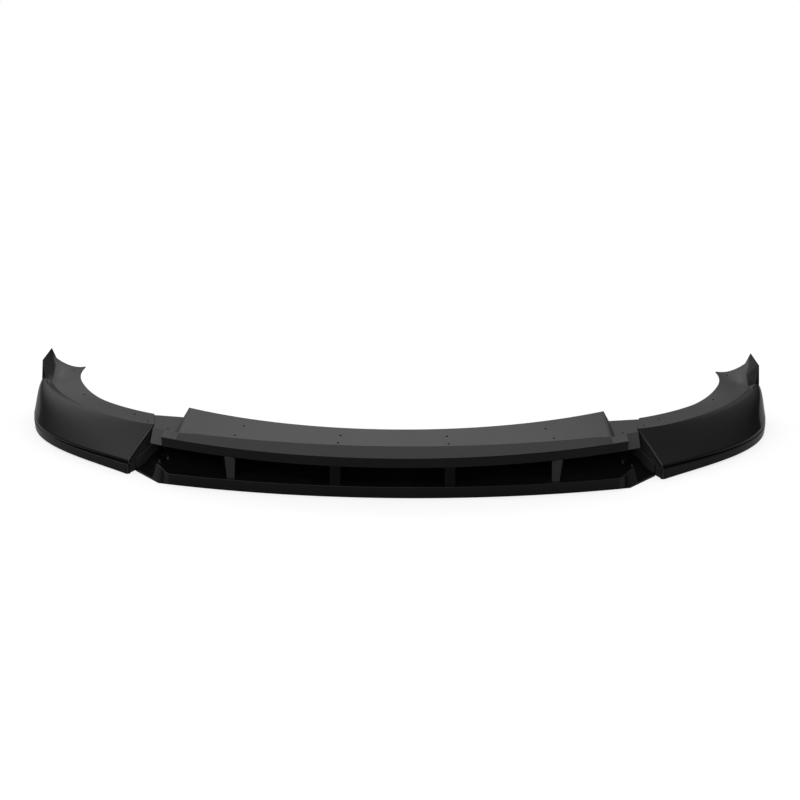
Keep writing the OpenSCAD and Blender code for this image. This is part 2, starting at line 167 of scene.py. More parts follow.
class SplitterSizes(bpy.types.PropertyGroup):
    """Sizes of the three mouldings"""

    overall_w: length("Overall width", "Width across both corner sections", 1.81, 1.7, 1.9)
    overall_d: length(
        "Overall depth", "Depth from the foremost edge of the blade to the winglet tips", 0.55, 0.5, 0.62)
    wall_t: length("Wall thickness", "Wall of all three mouldings", 0.003, 0.002, 0.004)
    flange_back_z: length(
        "Flange back height", "Height of the flange along its back edge", 0.104, 0.098, 0.112)
    deck_back_z: length("Deck back height", "Height of the bend between flange and deck", 0.092, 0.088, 0.096)
    lip_top_z: length("Lip top height", "Height of the lip's upper edge", 0.088, 0.084, 0.092)
    slot_top_z: length(
        "Slot top height", "Height of the lip's lower edge, which is the top of the slot",
        0.065, 0.058, 0.072)
    blade_h: length(
        "Blade height", "Height of the blade's upper edge, which is the bottom of the slot",
        0.028, 0.022, 0.034)
    lip_setback: length(
        "Lip setback", "How far the lip stands behind the blade at the middle", 0.014, 0.008, 0.024)
    deck_d: length("Deck depth", "Deck, front to back at the middle", 0.055, 0.045, 0.065)
    flange_d: length("Flange depth", "Flange, front to back at the middle", 0.065, 0.055, 0.075)
    flange_r: length("Flange radius", "Radius of the flange's back edge in plan", 1, 0.9, 1.2)
    deck_r: length("Deck radius", "Radius of the bend between flange and deck in plan", 1.65, 1.5, 1.9)
    lip_r: length("Lip radius", "Radius of the lip in plan", 1.3, 1.15, 1.6)
    blade_r: length("Blade radius", "Radius of the blade in plan", 2.15, 1.9, 2.6)
    blade_lean: length(
        "Blade lean", "How far the blade's face leans back towards its lower edge", 0.005, 0.003, 0.01)
    lip_half: length("Lip half length", "Half length of the lip", 0.51, 0.5, 0.514)
    lip_end_draft: length("Lip end draft", "Draft of the lip's end face", 0.0015, 0.001, 0.003)
    flange_half: length("Flange half length", "Half length of the raised flange", 0.475, 0.46, 0.482)
    crease_x: length(
        "Flange crease place", "Where the flange is creased, beyond which its front slopes down to the tab",
        0.436, 0.425, 0.445)
    flange_step: length(
        "Flange step length", "Length over which the raised flange steps down to the tab", 0.01, 0.006, 0.011)
    flange_jog: length(
        "Flange jog", "How far the raised flange stands back from the tab's back edge", 0.02, 0.014, 0.03)
    tab_front_d: length(
        "Tab front setback", "How far the tab's front edge stands behind the lip", 0.04, 0.025, 0.045)
    tab_foot_d: length(
        "Tab foot setback", "How far the foot of the tab's sloping front stands behind the lip",
        0.005, 0.003, 0.01)
    slot_depth_top: length("Slot roof depth", "Depth of the slot along its roof", 0.084, 0.07, 0.096)
    slot_depth_low: length("Slot floor depth", "Depth of the slot along its floor", 0.05, 0.04, 0.06)
    tray_d: length("Tray depth", "Depth of the tray under the blade", 0.13, 0.1, 0.15)
    fin_inner_x: length("Inner fin place", "Distance of the inner fins from the middle", 0.121, 0.11, 0.13)
    fin_outer_x: length("Outer fin place", "Distance of the outer fins from the middle", 0.351, 0.34, 0.365)
    inner_fin_w: length("Inner fin width", "Width of an inner fin at its front", 0.021, 0.014, 0.026)
    outer_fin_w: length(
        "Outer fin width", "Width of an outer fin at the top of its front", 0.024, 0.014, 0.028)
    outer_fin_foot_w: length("Outer fin foot width", "Width of an outer fin at its foot", 0.017, 0.012, 0.024)
    outer_fin_lean: length(
        "Outer fin lean", "How far an outer fin's foot leans towards the middle", 0.005, 0, 0.008)
    fin_flare: length("Fin flare", "Width that a fin gains on each side at its back", 0.01, 0.002, 0.014)
    lip_lean: length("Lip lean", "How far the lip's face leans back towards its lower edge", 0.001, 0, 0.003)
    fin_setback: length(
        "Fin setback", "How far a fin's front stands behind the lip's face", 0.001, 0.0005, 0.002)
    fin_foot_d: length(
        "Fin foot setback", "How far a fin's foot stands behind the blade's edge", 0.008, 0.004, 0.014)
    top_turn_x: length("Blade edge turn", "Where the blade's upper edge turns back", 0.486, 0.478, 0.494)
    top_slope: number(
        "Blade edge slope", "How steeply the blade's upper edge runs back beyond its turn", 1.5, 1.2, 1.8)
    top_fall_x: length(
        "Blade edge fall start", "Where the blade's upper edge starts to fall", 0.528, 0.522, 0.534)
    top_end_x: length(
        "Blade edge fall end", "Where the fall of the blade's upper edge ends", 0.56, 0.556, 0.566)
    top_end_z: length(
        "Blade edge end height", "Height of the blade's upper edge where its fall ends", 0.013, 0.012, 0.016)
    foot_turn_x: length("Blade foot turn", "Where the blade's lower edge turns back", 0.511, 0.504, 0.518)
    foot_slope: number(
        "Blade foot slope", "How steeply the blade's lower edge runs back beyond its turn", 0.95, 0.85, 1.1)
    crease_low_z: length(
        "End crease start height", "Height of the crease between the blade's end faces where it starts",
        0.003, 0.002, 0.005)
    crease_high_z: length(
        "End crease end height", "Height of that crease where the blade meets the corner section",
        0.008, 0.006, 0.009)
    strut_front: length(
        "Strut front", "Front edge of the strut across the slot's end, along the joint", 0.0205, 0.02, 0.024)
    strut_low_z: length(
        "Strut front height", "Height of the strut's upper edge at its front", 0.031, 0.026, 0.036)
    strut_high_z: length(
        "Strut back height", "Height of the strut's upper edge at its back", 0.056, 0.05, 0.06)
    joint_front_x: length(
        "Joint front place", "Distance of the panel's front inner corner from the middle", 0.586, 0.58, 0.592)
    joint_front_d: length(
        "Joint front depth", "How far the panel's front inner corner lies behind the blade's front",
        0.113, 0.108, 0.118)
    joint_back_x: length(
        "Joint back place", "Distance of the panel's back inner corner from the middle", 0.541, 0.536, 0.546)
    joint_back_d: length(
        "Joint back depth", "How far the panel's back inner corner lies behind the blade's front",
        0.184, 0.179, 0.19)
    corner_flange_d: length(
        "Corner flange depth", "Flange of the corner section, front to back at its inner end",
        0.062, 0.056, 0.066)
    corner_flange_lean: length(
        "Corner flange lean", "How far the flange's back inner corner lies outside the panel's",
        0.014, 0.01, 0.018)
    corner_flange_w: length(
        "Corner flange width", "Flange of the corner section, side to side at its rear end",
        0.071, 0.06, 0.08)
    lower_end_d: length(
        "Band end depth", "How far the band ends ahead of the winglet tip", 0.067, 0.055, 0.08)
    winglet_base_d: length(
        "Winglet base depth", "How far the winglet's base stands ahead of its tip", 0.1, 0.085, 0.11)
    flange_end_d: length(
        "Flange end depth", "How far the flange's rear edge stands ahead of the winglet tip",
        0.017, 0.01, 0.025)
    base_in: length(
        "Winglet base inset", "Distance of the winglet's base inside the panel's outer edge",
        0.046, 0.038, 0.054)
    fold_in: length(
        "Winglet fold inset", "Distance of the fold between flange and winglet inside that edge",
        0.035, 0.028, 0.042)
    tip_in: length("Winglet tip inset", "Distance of the winglet tip inside that edge", 0.019, 0.012, 0.024)
    shoulder_in: length(
        "Winglet shoulder inset", "Distance of the winglet's shoulder inside that edge", 0.009, 0.005, 0.012)
    shoulder_d: length(
        "Winglet shoulder depth", "How far the shoulder stands ahead of the winglet tip", 0.047, 0.038, 0.056)
    corner_flange_z: length("Corner flange height", "Top of the corner section's flange", 0.091, 0.088, 0.094)
    band_h: length("Band height", "Height of the band along the corner section's foot", 0.024, 0.018, 0.027)
    panel_edge_z: length("Panel edge height", "Height of the panel's lower front edge", 0.032, 0.03, 0.036)
    foot_arch: length(
        "Band foot arch", "How far the band's foot arches up between its ends", 0.005, 0.002, 0.008)
    band_step: length(
        "Band step", "Step between the band and the panel's lower edge, which runs out towards the rear",
        0.005, 0.003, 0.007)
    flange_rear_z: length(
        "Flange rear height", "Height of the flange at its rear inner corner", 0.104, 0.098, 0.11)
    fold_z: length(
        "Winglet fold height", "Height of the fold between flange and winglet at the rear",
        0.126, 0.118, 0.132)
    shoulder_z: length(
        "Winglet shoulder height", "Height of the winglet's outer shoulder", 0.131, 0.124, 0.137)
    tip_z: length("Winglet tip height", "Height of the winglet tip", 0.148, 0.14, 0.16)
    bulge_out: length(
        "Panel bulge outwards", "How far the panel bulges outwards at its rear end", 0.022, 0.01, 0.026)
    bulge_up: length(
        "Panel bulge upwards", "How far the panel bulges upwards at its rear end", 0.019, 0.01, 0.024)
    crown: length("Panel crown", "Crown of the panel", 0.005, 0.001, 0.008)
    flange_sag: length("Flange sag", "Sag of the flange between its edges at the rear", 0.009, 0.002, 0.012)
    hole_d: length("Hole diameter", "Diameter of the screw holes", 0.005, 0.004, 0.0065)
    pair_inner_x: length(
        "Inner pairs' place", "Distance of the inner pairs of holes from the middle, on the deck's bend",
        0.12, 0.105, 0.135)
    pair_outer_x: length(
        "Outer pairs' place", "Distance of the outer pairs of holes from the middle, on the deck's bend",
        0.351, 0.34, 0.37)
    pair_front: number(
        "Pair front share", "Place of a pair's front hole across the flange, as a share", 0.12, 0.1, 0.25)
    pair_back: number(
        "Pair back share", "Place of a pair's back hole across the flange, as a share", 0.55, 0.45, 0.8)
    tab_hole_x: length(
        "Tab hole place", "Distance of the hole in each tab from the middle", 0.505, 0.498, 0.51)
    tab_hole_place: number(
        "Tab hole share", "Place of the tab's hole across the tab, as a share", 0.18, 0.15, 0.4)
    joint_gap: length(
        "Joint gap", "Gap between the centre section and the corner sections", 0.0005, 0.0003, 0.0015)
    end_wall_inset: length(
        "End wall inset", "How far the corner section's end wall lies inside its end", 0.001, 0.0005, 0.003)
    tab_inset: length(
        "Tab inset", "How far the tab stays inside the edges of the corner flange", 0.009, 0.007, 0.012)
    tab_reach: number(
        "Tab reach", "How far along the corner flange the tab reaches, as a share", 0.25, 0.22, 0.3)
    edge_round: length("Edge rounding", "Radius of the outer edges of the mouldings", 0.0014, 0.0004, 0.003)
    rim_round: length("Rim rounding", "Radius of the rims of the walls", 0.0006, 0.0002, 0.0014)
    centre_rows: count("Centre rows", "Sections along half of the centre section's lip", 70, 20, 160)
    corner_rows: count("Corner rows", "Sections along a corner section", 90, 30, 160)


class SplitterFinish(bpy.types.PropertyGroup):
    """Colours and gloss of the mouldings"""

    gloss_colour: colour("Gloss colour", "Colour of the polished faces", (0.0032, 0.0033, 0.0034, 1))
    satin_colour: colour(
        "Satin colour", "Colour of the flanges that are screwed to the bumper", (0.034, 0.034, 0.0345, 1))
    # Raw moulding on the hidden side. Its colour is also set lighter for the end walls and the strut, so
    # there it is partly raw plastic and partly a painted sheen of their lit faces
    back_and_end_sheen_colour: colour(
        "Back colour", "Colour of the raw moulding on its hidden side", (0.026, 0.025, 0.024, 1))
    dust_colour: colour("Dust colour", "Colour of the thin dust", (0.02, 0.02, 0.02, 1))
    gloss_roughness: number("Gloss roughness", "Roughness of the polished faces", 0.09, 0, 1, "FACTOR")
    satin_roughness: number("Satin roughness", "Roughness of the flanges", 0.3, 0, 1, "FACTOR")
    back_roughness: number(
        "Back roughness", "Roughness of the raw moulding on its hidden side", 0.5, 0, 1, "FACTOR")
    plastic_ior: number("Plastic IOR", "Refraction index of the lacquered plastic", 1.3, 1, 2)


class SplitterStudio(bpy.types.PropertyGroup):
    """Camera and light of the studio"""

    distance: length("Camera distance", "Distance of the camera from the part", 2.625, 1, 10)
    elevation: number("Camera elevation", "Height of the camera as an angle",
                     math.radians(21), 0, math.radians(89), "ANGLE")
    azimuth: number("Camera azimuth", "Turn of the camera from the front",
                   math.radians(1.36), -math.pi, math.pi, "ANGLE")
    focal_length: number(
        "Focal length", "Focal length of the camera, in millimetres", 48.2, 10, 200, "DISTANCE_CAMERA")
    fill: number("Fill", "Strength of the light from all around", 0.8, 0, 2)
    horizon: number("Horizon", "Backdrop at the height of the part, as polished faces show it",
                   0.12, 0, 1, "FACTOR")
    key: number("Key", "Radiance of the softbox overhead", 3, 0, 60)
    rim: number("Rim", "Radiance of the softbox behind, which the flanges show", 1.8, 0, 20)
    side: number("Side", "Brightness of the pale screen on the left, as polished faces show it", 1.55, 0.1, 4)


# Plain maths for curves
def mix(a, b, t):
    return a + (b - a) * t


def clamp(t):
    return max(0.0, min(1.0, t))


def ease(t):
    t = clamp(t)
    return t * t * (3 - 2 * t)


def bow(radius, x):
    """How far an arc through the origin has curved back at x"""
    return radius - math.sqrt(radius * radius - x * x)


def bezier(points, t):
    a, b, c, d = points
    r = 1 - t
    return a * r**3 + b * (3 * t * r * r) + c * (3 * t * t * r) + d * t**3


class CentreForm:
    """Plan lines and cross-sections of the centre section, measured behind the blade's front"""

    def __init__(self, sizes):
        self.s = sizes
        self.front_y = -sizes.overall_d / 2
        self.tab_z = sizes.corner_flange_z - sizes.wall_t
        self.step_end = sizes.flange_half + sizes.flange_step
        self.tab_turn_x = sizes.joint_back_x + sizes.corner_flange_lean

    def beyond(self, x, turn):
        """How far x lies outside a turn, as far as the joint"""
        return max(0.0, min(abs(x), self.s.joint_front_x) - turn)

    def blade_line(self, x):
        s = self.s
        run = s.top_slope * self.beyond(min(abs(x), s.top_end_x), s.top_turn_x)
        return bow(s.blade_r, min(abs(x), s.top_turn_x)) + run

    def blade_z(self, x):
        s = self.s
        return mix(s.blade_h, s.top_end_z, clamp((abs(x) - s.top_fall_x) / (s.top_end_x - s.top_fall_x)))

    def foot_line(self, x):
        s = self.s
        run = s.foot_slope * self.beyond(x, s.foot_turn_x)
        return s.blade_lean + bow(s.blade_r, min(abs(x), s.foot_turn_x)) + run

    def tray_line(self, x):
        return bow(self.s.blade_r, min(abs(x), self.s.top_turn_x)) + self.s.tray_d

    def lip_line(self, x):
        return self.s.lip_setback + bow(self.s.lip_r, x)

    def deck_line(self, x):
        return self.s.lip_setback + self.s.deck_d + bow(self.s.deck_r, x)

    def flange_line(self, x):
        s = self.s
        return s.lip_setback + s.deck_d + s.flange_d + bow(s.flange_r, min(abs(x), s.flange_half))

    def tab_line(self, x):
        s = self.s
        start = self.flange_line(s.flange_half) - s.flange_jog
        share = (abs(x) - self.step_end) / (self.tab_turn_x - self.step_end)
        end = s.joint_back_d + s.corner_flange_d
        return mix(start, end, share) + TAB_SPREAD * max(0, abs(x) - self.tab_turn_x)

    def tab_front(self, x):
        return self.lip_line(x) + self.s.tab_front_d

    def step_share(self, x):
        """Share of the step from the raised flange down to the tab"""
        return clamp((abs(x) - self.s.flange_half) / self.s.flange_step)

    def slope_share(self, x):
        """Share of the slope from the flange's crease down to the tab"""
        return clamp((abs(x) - self.s.crease_x) / (self.step_end - self.s.crease_x))

    def flange_edge(self, x):
        if abs(x) < self.step_end:
            return mix(self.flange_line(x), self.tab_line(self.step_end), self.step_share(x))
        return self.tab_line(x)

    def crease_height(self, x):
        s = self.s
        share = clamp(self.beyond(x, s.top_turn_x) / (s.joint_front_x - s.top_turn_x))
        return mix(s.crease_low_z, s.crease_high_z, share)

    def crease_line(self, x):
        s = self.s
        lean = 0 if abs(x) > s.top_turn_x else s.blade_lean * self.crease_height(x) / s.blade_h
        return self.foot_line(x) - lean

    def low_points(self, x):
        """From the slot's back round its floor and the blade to the tray's back edge"""
        s = self.s
        return [
            (self.lip_line(x) + s.slot_depth_top, s.slot_top_z),
            (self.blade_line(x) + s.slot_depth_low, s.blade_h),
            (self.blade_line(x), self.blade_z(x)),
            (self.crease_line(x), self.crease_height(x)),
            (self.foot_line(x), 0),
            (self.tray_line(x), 0),
        ]

    def lip_points(self, x):
        """From the flange's back edge over the deck to the lip's lower edge"""
        s = self.s
        return [
            (self.flange_edge(x), mix(s.flange_back_z, self.tab_z, self.step_share(x))),
            (self.deck_line(x), mix(s.deck_back_z, self.tab_z, self.slope_share(x))),
            (self.lip_line(x), s.lip_top_z),
            (self.lip_line(x) + s.lip_lean, s.slot_top_z),
        ]

    def tab_points(self, x):
        """From the tab's back edge to the foot of its sloping front"""
        front, back = self.tab_front(x), self.flange_edge(x)
        foot = self.lip_line(x) + self.s.tab_foot_d
        return [
            (back, self.tab_z),
            (mix(front, back, TAB_FOLD), self.tab_z),
            (front, self.tab_z),
            (foot, self.s.slot_top_z),
        ]

    def placed(self, x, points):
        return [Vector((x, self.front_y + y, z)) for y, z in points + self.low_points(x)]

    def stations(self):
        """The lip's stations from the middle to its end, and the tab's outwards from there"""
        s = self.s
        lip = [s.flange_half * i / s.centre_rows for i in range(s.centre_rows + 1)]
        lip += [mix(s.flange_half, self.step_end, (i + 1) / STEP_ROWS) for i in range(STEP_ROWS)]
        lip += [mix(s.top_turn_x, s.lip_half, i / STEP_ROWS) for i in range(STEP_ROWS + 1)]
        marks = [s.lip_half + s.lip_end_draft, s.top_fall_x, self.tab_turn_x, s.top_end_x,
                 s.joint_front_x, TAB_END_X]
        tab = [marks[0]]
        for near, far in zip(marks, marks[1:]):
            steps = max(1, round((far - near) / STATION_STEP))
            tab += [mix(near, far, (i + 1) / steps) for i in range(steps)]
        return lip, tab

    def rows(self):
        lip, tab = self.stations()
        return (
            [self.placed(-x, self.tab_points(-x)) for x in reversed(tab)]
            + [self.placed(-x, self.lip_points(-x)) for x in reversed(lip[1:])]
            + [self.placed(x, self.lip_points(x)) for x in lip]
            + [self.placed(x, self.tab_points(x)) for x in tab]
        )

    def across_flange(self, x, share):
        return self.front_y + mix(self.deck_line(x), self.flange_edge(x), share)

    def screws(self):
        """Places of the screw holes in the right-hand half, whose pairs lie on one radius"""
        s = self.s
        places = []
        for x in (s.pair_inner_x, s.pair_outer_x):
            for share in (s.pair_front, s.pair_back):
                y = self.across_flange(x, share)
                swing = (y - self.across_flange(x, 0)) * x / s.flange_r
                places.append(Vector((x - swing, y, mix(s.deck_back_z, s.flange_back_z, share))))
        tab_y = self.across_flange(s.tab_hole_x, s.tab_hole_place)
        places.append(Vector((s.tab_hole_x, tab_y, self.tab_z)))
        return places


class CornerForm:
    """Plan curves and cross-sections of the right-hand corner section"""

    flange_shares = [1, 0.83, 0.66, 0.5, 0.33, 0.17]
    winglet_shares = [0, 0.085, 0.16, 0.25, 0.34]
    panel_shares = [0.42, 0.5, 0.58, 0.66, 0.75, 0.83, 0.92]
    fold_col = len(flange_shares)
    shoulder_col = fold_col + len(winglet_shares) - 1
    edge_col = shoulder_col + len(panel_shares) + 1

    def __init__(self, sizes):
        s = self.s = sizes
        front_y, rear_y = -s.overall_d / 2, s.overall_d / 2
        edge_x = s.overall_w / 2
        self.joint_front = Vector((s.joint_front_x, front_y + s.joint_front_d, 0))
        self.joint_back = Vector((s.joint_back_x, front_y + s.joint_back_d, 0))
        self.joint_run = (self.joint_back - self.joint_front).length
        self.along = (self.joint_back - self.joint_front).normalized()
        self.side = Vector((self.along.y, -self.along.x, 0))
        lower_end = Vector((edge_x, rear_y - s.lower_end_d, 0))
        base_inner = Vector((edge_x - s.base_in, rear_y - s.winglet_base_d, 0))
        self.fold_end = Vector((edge_x - s.fold_in, rear_y - s.flange_end_d, s.fold_z))
        self.shoulder = Vector((edge_x - s.shoulder_in, rear_y - s.shoulder_d, s.shoulder_z))
        self.tip = Vector((edge_x - s.tip_in, rear_y, s.tip_z))
        inner = self.joint_back + Vector((s.corner_flange_lean, s.corner_flange_d, 0))
        outer = Vector((self.fold_end.x - s.corner_flange_w, self.fold_end.y, 0))
        self.edge_curve = [self.joint_front, self.joint_front + EDGE_PULL,
                           lower_end - EDGE_REACH, lower_end]
        self.top_curve = [self.joint_back, self.joint_back + TOP_PULL,
                          base_inner - TOP_REACH, base_inner]
        self.back_curve = [inner, inner + BACK_PULL, outer - BACK_REACH, outer]

    def panel_edge(self, u):
        return bezier(self.edge_curve, u)

    def panel_top(self, u):
        return bezier(self.top_curve, u)

    def corner_back(self, u):
        return bezier(self.back_curve, u * TAIL_SHARE)

    def outward(self, u):
        return (self.panel_edge(u) - self.panel_top(u)).normalized()

    def flange_point(self, u, share):
        s = self.s
        point = mix(self.panel_top(u), self.corner_back(u), share)
        back_z = mix(s.corner_flange_z, s.flange_rear_z, ease(2 * u - 1))
        point.z = mix(s.corner_flange_z, back_z, share)
        return point

    def panel_point(self, u, share):
        s = self.s
        point = mix(self.panel_top(u), self.panel_edge(u), share)
        bulge = u**BULGE_GROWTH * math.sin(math.pi * share**BULGE_PEAK)
        bend = 4 * share * (1 - share) * (1 - (1 - u) ** 3) * (1 - u**3)
        point += self.outward(u) * bulge * s.bulge_out
        point.z = mix(s.corner_flange_z, s.panel_edge_z, share) + bulge * s.bulge_up + s.crown * bend
        fall = share * self.end_fall(u) * PANEL_END_SHARE
        point.z -= fall
        point -= self.outward(u) * fall
        return point

    def end_fall(self, u):
        """How far the outer faces turn in at the joint, over the rounding's radius"""
        ahead = clamp(1 - u * 3 * EDGE_PULL.length / END_ROUND)
        return END_ROUND * (1 - math.sqrt(1 - ahead * ahead))

    def section(self, u):
        """From the flange's back edge over the panel to the foot of the band"""
        s = self.s
        edge = self.panel_edge(u) - self.outward(u) * self.end_fall(u)
        band = edge + self.outward(u) * s.band_step * (1 - u)
        under = edge - self.outward(u) * GAP_DEPTH * (1 - u)
        low = [(edge, s.panel_edge_z), (under, s.band_h + GAP_FALL), (band, s.band_h),
               (band, s.foot_arch * math.sin(math.pi * u))]
        return (
            [self.flange_point(u, share) for share in self.flange_shares]
            + [self.panel_point(u, share) for share in self.winglet_shares + self.panel_shares]
            + [Vector((p.x, p.y, z)) for p, z in low]
        )

    def tail_section(self, t):
        """A row behind the winglet's base, where the panel turns up into the winglet"""
        s = self.s
        main = self.section(1)
        fold = mix(main[self.fold_col], self.fold_end, t)
        if t < 0.5:
            outer = mix(main[self.shoulder_col], self.shoulder, 2 * t)
        else:
            outer = mix(self.shoulder, self.tip, 2 * t - 1)
        inner = bezier(self.back_curve, mix(TAIL_SHARE, 1, t))
        inner.z = s.flange_rear_z
        flange = []
        for share in self.flange_shares:
            point = mix(fold, inner, share)
            point.z -= s.flange_sag * t * 4 * share * (1 - share)
            flange.append(point)
        last = len(self.winglet_shares) - 1
        ridge = mix(*RIDGE_SHARES, clamp(2 * t))
        winglet = [mix(fold, outer, ridge * i / (last - 1)) for i in range(last)] + [outer]
        winglet[last - 1] -= RIDGE_RISE * ease(RIDGE_START * t) * (1 - clamp(2 * t))
        return flange + winglet + main[self.shoulder_col + 1:]

    def rows(self):
        steps = self.s.corner_rows
        round_end = END_ROUND / (3 * EDGE_PULL.length)
        shares = [round_end * (1 - math.cos(math.pi / 2 * i / END_ROWS)) for i in range(END_ROWS)]
        shares += [mix(round_end, 1, i / steps) for i in range(steps + 1)]
        main = [self.section(u) for u in shares]
        return main + [self.tail_section((i + 1) / TAIL_ROWS) for i in range(TAIL_ROWS)]


# Modelling helpers
def start_piece():
    """Leaves nothing selected, because an operator acts on all that is"""
    if bpy.context.object and bpy.context.object.mode == "EDIT":
        bpy.ops.object.mode_set(mode="OBJECT")
    bpy.ops.object.select_all(action="DESELECT")


def activate(*pieces):
    """Selects these pieces alone, the first one active"""
    start_piece()
    for piece in pieces:
        piece.select_set(True)
    bpy.context.view_layer.objects.active = pieces[0]


@contextmanager
def editing(piece):
    """Edit mode on one piece, with all of it selected"""
    activate(piece)
    bpy.ops.object.mode_set(mode="EDIT")
    bpy.ops.mesh.select_all(action="SELECT")
    yield
    bpy.ops.object.mode_set(mode="OBJECT")


def join_all(pieces):
    activate(*pieces)
    bpy.ops.object.join()
    return bpy.context.object


def deselect_mesh(mesh):
    for element in (*mesh.vertices, *mesh.edges, *mesh.polygons):
        element.select = False


def place_key(point):
    """A point in whole micrometres, so that equal places compare as equal"""
    return tuple(round(c * 1e6) for c in point)


def add_skin(name, rows):
    """Adds a grid primitive and lays its rows on the sections, back edge first"""
    start_piece()
    cols = len(rows[0])
    bpy.ops.mesh.primitive_grid_add(x_subdivisions=cols - 1, y_subdivisions=len(rows) - 1, size=1)
    skin = bpy.context.object
    skin.name = name
    points = [point for row in rows for point in row]
    if len(points) != len(skin.data.vertices):
        raise RuntimeError(f"{name}: the grid has {len(skin.data.vertices)} points, not {len(points)}")
    for vertex, point in zip(skin.data.vertices, points):
        vertex.co = point
    return skin


def apply_modifier(piece, kind, **settings):
    bpy.context.view_layer.objects.active = piece
    modifier = piece.modifiers.new(kind.lower(), kind)
    for key, value in settings.items():
        setattr(modifier, key, value)
    bpy.ops.object.modifier_apply(modifier=modifier.name)


def select_lines(piece, lines):
    """Selects the edges that lie along the lines of points and nothing else"""
    wanted = {frozenset((place_key(a), place_key(b))) for line in lines for a, b in zip(line, line[1:])}
    mesh = piece.data
    keys = [place_key(v.co) for v in mesh.vertices]
    deselect_mesh(mesh)
    found = 0
    for edge in mesh.edges:
        a, b = edge.vertices
        if frozenset((keys[a], keys[b])) in wanted:
            edge.select = mesh.vertices[a].select = mesh.vertices[b].select = True
            found += 1
    return found


def round_lines(piece, lines, radius, segments=EDGE_SEGMENTS):
    """Bevels the edges along the lines"""
    activate(piece)
    if not select_lines(piece, lines):
        raise RuntimeError(f"{piece.name}: no edge lies on these lines")
    bpy.ops.object.mode_set(mode="EDIT")
    bpy.ops.mesh.select_mode(type="EDGE")
    bpy.ops.mesh.bevel(offset=radius, segments=segments, profile=0.5, affect="EDGES")
    bpy.ops.object.mode_set(mode="OBJECT")


def add_wall(piece, sizes):
    """Gives a skin its wall, whose inner side takes the raw finish"""
    apply_modifier(piece, "SOLIDIFY", thickness=sizes.wall_t, offset=-1, use_even_offset=True,
                   material_offset=2)


def cut_away(piece, cutter):
    apply_modifier(piece, "BOOLEAN", object=cutter, operation="DIFFERENCE", solver="EXACT")
    bpy.data.objects.remove(cutter, do_unlink=True)


def screw_cutter(places, sizes):
    """Upright cylinders, joined into one cutter"""
    drills = []
    for place in places:
        start_piece()
        bpy.ops.mesh.primitive_cylinder_add(
            vertices=DRILL_SIDES, radius=sizes.hole_d / 2, depth=DRILL_WALLS * sizes.wall_t, location=place)
        drills.append(bpy.context.object)
    cutter = join_all(drills)
    bpy.ops.object.transform_apply(location=True, rotation=True, scale=True)
    return cutter


def face_outwards(piece):
    """Turns all faces outwards and leaves them selected"""
    with editing(piece):
        bpy.ops.mesh.normals_make_consistent(inside=False)


def slab(outline, run):
    """A filled ring of points, extruded by a vector"""
    start_piece()
    bpy.ops.mesh.primitive_circle_add(vertices=len(outline), fill_type="NGON")
    block = bpy.context.object
    for vertex, point in zip(block.data.vertices, outline):
        vertex.co = point
    with editing(block):
        bpy.ops.mesh.extrude_region_move(TRANSFORM_OT_translate={"value": run})
    face_outwards(block)
    return block


def mirrored(points):
    """The points on the other side of the middle"""
    return [Vector((-p[0], *p[1:])) for p in points]


def dress(piece, *materials):
    piece.data.materials.clear()
    for material in materials:
        piece.data.materials.append(material)


def smooth(piece):
    """Shades the faces smooth up to sharp edges, with the broad faces leading"""
    activate(piece)
    bpy.ops.object.shade_smooth_by_angle(angle=SMOOTH_ANGLE)
    apply_modifier(piece, "WEIGHTED_NORMAL", weight=100, keep_sharp=True)


def hand_over(piece, node):
    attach(piece, "root")
    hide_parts(node)


# Finishes
def arithmetic(operation, reflected=False):
    """An operator on sockets and numbers, which adds one Math node"""
    def combine(wire, other):
        first, second = (other, wire) if reflected else (wire, other)
        return wire.finish.node("ShaderNodeMath", {"operation": operation}, {0: first, 1: second})
    return combine


class Wire:
    """A socket of a finish, so that its maths reads as plain expressions"""

    def __init__(self, finish, socket):
        self.finish = finish
        self.socket = socket

    __add__, __radd__ = arithmetic("ADD"), arithmetic("ADD", True)
    __sub__, __rsub__ = arithmetic("SUBTRACT"), arithmetic("SUBTRACT", True)
    __mul__, __rmul__ = arithmetic("MULTIPLY"), arithmetic("MULTIPLY", True)


class Finish:
    """A material or world whose nodes are written one call at a time"""

    def __init__(self, owner, coordinates="Object"):
        owner.use_nodes = True
        self.owner = owner
        self.tree = owner.node_tree
        self.place = self.node("ShaderNodeTexCoord", output=coordinates)

    def node(self, kind, settings=None, inputs=None, output=0):
        made = self.tree.nodes.new(kind)
        for key, value in (settings or {}).items():
            setattr(made, key, value)
        self.feed(made, inputs or {})
        return Wire(self, made.outputs[output])

    def feed(self, made, inputs):
        for key, value in inputs.items():
            if isinstance(value, Wire):
                self.tree.links.new(value.socket, made.inputs[key])
            else:
                made.inputs[key].default_value = value

    def noise(self, scale, detail):
        return self.node("ShaderNodeTexNoise", None,
                         {"Vector": self.place, "Scale": scale, "Detail": detail}, "Fac")

    def spread(self, value, low, high, to_low=0.0, to_high=1.0):
        """Passes smoothly from one level to the other as the value goes from low to high"""
        return self.node("ShaderNodeMapRange", {"interpolation_type": "SMOOTHSTEP"}, {
            "Value": value, "From Min": low, "From Max": high, "To Min": to_low, "To Max": to_high}, "Result")

    def blend_colours(self, factor, first, second):
        return self.node("ShaderNodeMix", {"data_type": "RGBA"}, {0: factor, 6: first, 7: second}, 2)


